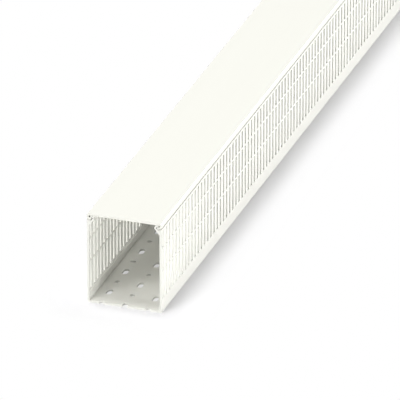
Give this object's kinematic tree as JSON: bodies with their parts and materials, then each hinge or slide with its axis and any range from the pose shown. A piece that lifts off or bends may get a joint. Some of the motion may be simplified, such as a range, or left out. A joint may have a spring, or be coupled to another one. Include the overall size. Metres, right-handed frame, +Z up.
{
  "type": "slotted wire duct",
  "caption": "Straight open wiring duct with slotted side walls, a perforated base and a clip-on cover, for routing and hiding cables.",
  "frame": {"origin": "middle of the underside of the base", "axes": "+X across the duct's width, +Y along its length, +Z up towards the cover"},
  "size_m": [0.08, 2, 0.1],
  "materials": {
    "duct_pvc": "satin white extruded PVC",
    "cover_pvc": "satin white extruded PVC"
  },
  "bodies": {
    "duct": {"duct": "duct_pvc"},
    "cover": {"cover": "cover_pvc"}
  },
  "joints": [
    {"name": "cover_slide", "type": "slide", "parent": "duct", "child": "cover", "axis": [0, 1, 0], "range_m": [0, 2.05]}
  ]
}
